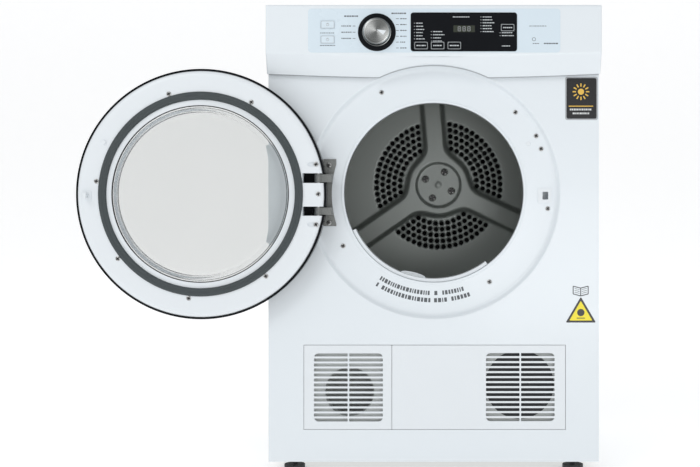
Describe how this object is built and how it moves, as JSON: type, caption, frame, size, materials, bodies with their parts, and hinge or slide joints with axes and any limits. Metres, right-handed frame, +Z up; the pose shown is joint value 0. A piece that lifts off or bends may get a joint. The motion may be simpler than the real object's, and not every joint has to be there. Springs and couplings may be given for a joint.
{
  "type": "clothes dryer",
  "caption": "Front-loading vented clothes dryer: square white cabinet, round glass door hinged at the left, steel drum, lint filter, belt drive and a control console.",
  "frame": {"origin": "on the floor, in the middle of the four feet, under the middle of the cabinet", "axes": "+X to the right for a person facing the front, -Y out of the front, +Z up"},
  "size_m": [0.933, 0.6142, 0.84],
  "materials": {
    "white_paint": "white baked enamel, semi-gloss",
    "white_plastic": "white moulded plastic, satin",
    "fascia_plastic": "very pale blue, smooth",
    "black_gloss": "deep black, polished",
    "dark_plastic": "dark grey, fine grain",
    "galvanised": "zinc-coated sheet",
    "drum_steel": "dark satin coated steel",
    "gasket_rubber": "dark grey, matte",
    "clear_glass": "clear, polished",
    "knob_metal": "turned and brushed",
    "screw_steel": "zinc-plated",
    "hinge_casting": "die-cast, as cast",
    "circuit_board": "green board",
    "felt": "woven felt",
    "filter_net": "fine woven net",
    "bearing_bronze": "sintered bronze",
    "foot_plastic": "dark grey plastic",
    "motor_paint": "grey",
    "belt_rubber": "black ribbed belt",
    "heater_wire": "heat-tinted",
    "grey_plastic": "grey, matte"
  },
  "bodies": {
    "cabinet": {"base_tray": "grey_plastic", "rear_feet": "foot_plastic", "side_panel_left": "white_paint", "side_panel_right": "white_paint", "rear_panel": "galvanised", "top_panel": "white_paint", "front_panel": "white_paint", "service_plate": "grey_plastic", "vent_cover_left": "white_plastic", "vent_cover_right": "white_plastic", "console_shell": "white_plastic", "fascia": "fascia_plastic", "display_window": "black_gloss", "control_board": "circuit_board", "knob_bezel": "black_gloss", "front_bulkhead": "galvanised", "felt_seal": "felt", "filter_housing": "dark_plastic", "rear_bulkhead": "galvanised", "rear_bearing": "bearing_bronze", "heater_duct": "galvanised", "heater_coil": "heater_wire", "blower_housing": "grey_plastic", "motor_housing": "motor_paint", "drive_belt": "belt_rubber", "idler_spring": "screw_steel", "hinge_bracket": "hinge_casting", "latch_housing": "white_plastic", "door_switch": "white_plastic", "panel_screws": "screw_steel"},
    "door": {"door_frame": "white_plastic", "door_outer_ring": "black_gloss", "door_window": "clear_glass", "glass_bowl": "clear_glass", "door_gasket": "gasket_rubber", "door_striker": "screw_steel", "door_screws": "screw_steel", "hinge_pins": "screw_steel"},
    "drum": {"drum_shell": "drum_steel", "drum_back": "drum_steel", "drum_lifters": "drum_steel", "drum_shaft": "screw_steel", "hub_screws": "screw_steel"},
    "rotor": {"motor_rotor": "screw_steel", "impeller": "dark_plastic"},
    "tension_arm": {"idler_arm": "galvanised"},
    "tension_wheel": {"idler_pulley": "dark_plastic"},
    "filter": {"filter_frame": "white_plastic", "filter_mesh": "filter_net"},
    "dial": {"knob": "knob_metal"},
    "jaw": {"latch_jaw": "white_plastic"},
    "plunger": {"switch_plunger": "white_plastic"},
    "foot_left": {"front_foot_left": "foot_plastic"},
    "foot_right": {"front_foot_right": "foot_plastic"},
    "power": {"power_key": "fascia_plastic"},
    "child_lock": {"child_lock_key": "fascia_plastic"},
    "time": {"time_key": "black_gloss"},
    "option": {"option_key": "black_gloss"},
    "temperature": {"temperature_key": "black_gloss"},
    "start": {"start_key": "black_gloss"}
  },
  "joints": [
    {"name": "door_hinge", "type": "hinge", "parent": "cabinet", "child": "door", "pos_m": [-0.206, -0.289, 0.5035], "axis": [0, 0, 1], "range_deg": [0, 180]},
    {"name": "drum_spin", "type": "hinge", "parent": "cabinet", "child": "drum", "pos_m": [0.01, 0, 0.527], "axis": [0, 1, 0], "continuous": true},
    {"name": "motor_spin", "type": "hinge", "parent": "cabinet", "child": "rotor", "pos_m": [0.155, 0, 0.16], "axis": [0, 1, 0], "continuous": true},
    {"name": "tension_swing", "type": "hinge", "parent": "cabinet", "child": "tension_arm", "pos_m": [0.131, 0, 0.115], "axis": [0, 1, 0], "range_deg": [0, 10], "stiffness_Nm_per_rad": 6},
    {"name": "tension_wheel_spin", "type": "hinge", "parent": "tension_arm", "child": "tension_wheel", "pos_m": [0.07, 0, 0.15], "axis": [0, 1, 0], "continuous": true},
    {"name": "filter_slide", "type": "slide", "parent": "cabinet", "child": "filter", "axis": [-0.2419, 0, -0.9703], "range_m": [-0.14, 0]},
    {"name": "knob_turn", "type": "hinge", "parent": "cabinet", "child": "dial", "pos_m": [-0.101, -0.3, 0.791], "axis": [0, 1, 0], "continuous": true},
    {"name": "latch_jaw_slide", "type": "slide", "parent": "cabinet", "child": "jaw", "axis": [-1, 0, 0], "range_m": [0, 0.003], "stiffness_N_per_m": 2000},
    {"name": "door_switch_press", "type": "slide", "parent": "cabinet", "child": "plunger", "axis": [0, 1, 0], "range_m": [0, 0.004], "stiffness_N_per_m": 500},
    {"name": "foot_left_screw", "type": "slide", "parent": "cabinet", "child": "foot_left", "axis": [0, 0, -1], "range_m": [0, 0.012]},
    {"name": "foot_right_screw", "type": "slide", "parent": "cabinet", "child": "foot_right", "axis": [0, 0, -1], "range_m": [0, 0.012]},
    {"name": "power_press", "type": "slide", "parent": "cabinet", "child": "power", "axis": [0, 1, 0], "range_m": [0, 0.001], "stiffness_N_per_m": 800},
    {"name": "child_lock_press", "type": "slide", "parent": "cabinet", "child": "child_lock", "axis": [0, 1, 0], "range_m": [0, 0.001], "stiffness_N_per_m": 800},
    {"name": "time_press", "type": "slide", "parent": "cabinet", "child": "time", "axis": [0, 1, 0], "range_m": [0, 0.001], "stiffness_N_per_m": 800},
    {"name": "option_press", "type": "slide", "parent": "cabinet", "child": "option", "axis": [0, 1, 0], "range_m": [0, 0.001], "stiffness_N_per_m": 800},
    {"name": "temperature_press", "type": "slide", "parent": "cabinet", "child": "temperature", "axis": [0, 1, 0], "range_m": [0, 0.001], "stiffness_N_per_m": 800},
    {"name": "start_press", "type": "slide", "parent": "cabinet", "child": "start", "axis": [0, 1, 0], "range_m": [0, 0.001], "stiffness_N_per_m": 800}
  ],
  "couplings": [
    {"joint": "motor_spin", "follows": "drum_spin", "ratio": 28},
    {"joint": "tension_wheel_spin", "follows": "drum_spin", "ratio": 12.4}
  ]
}
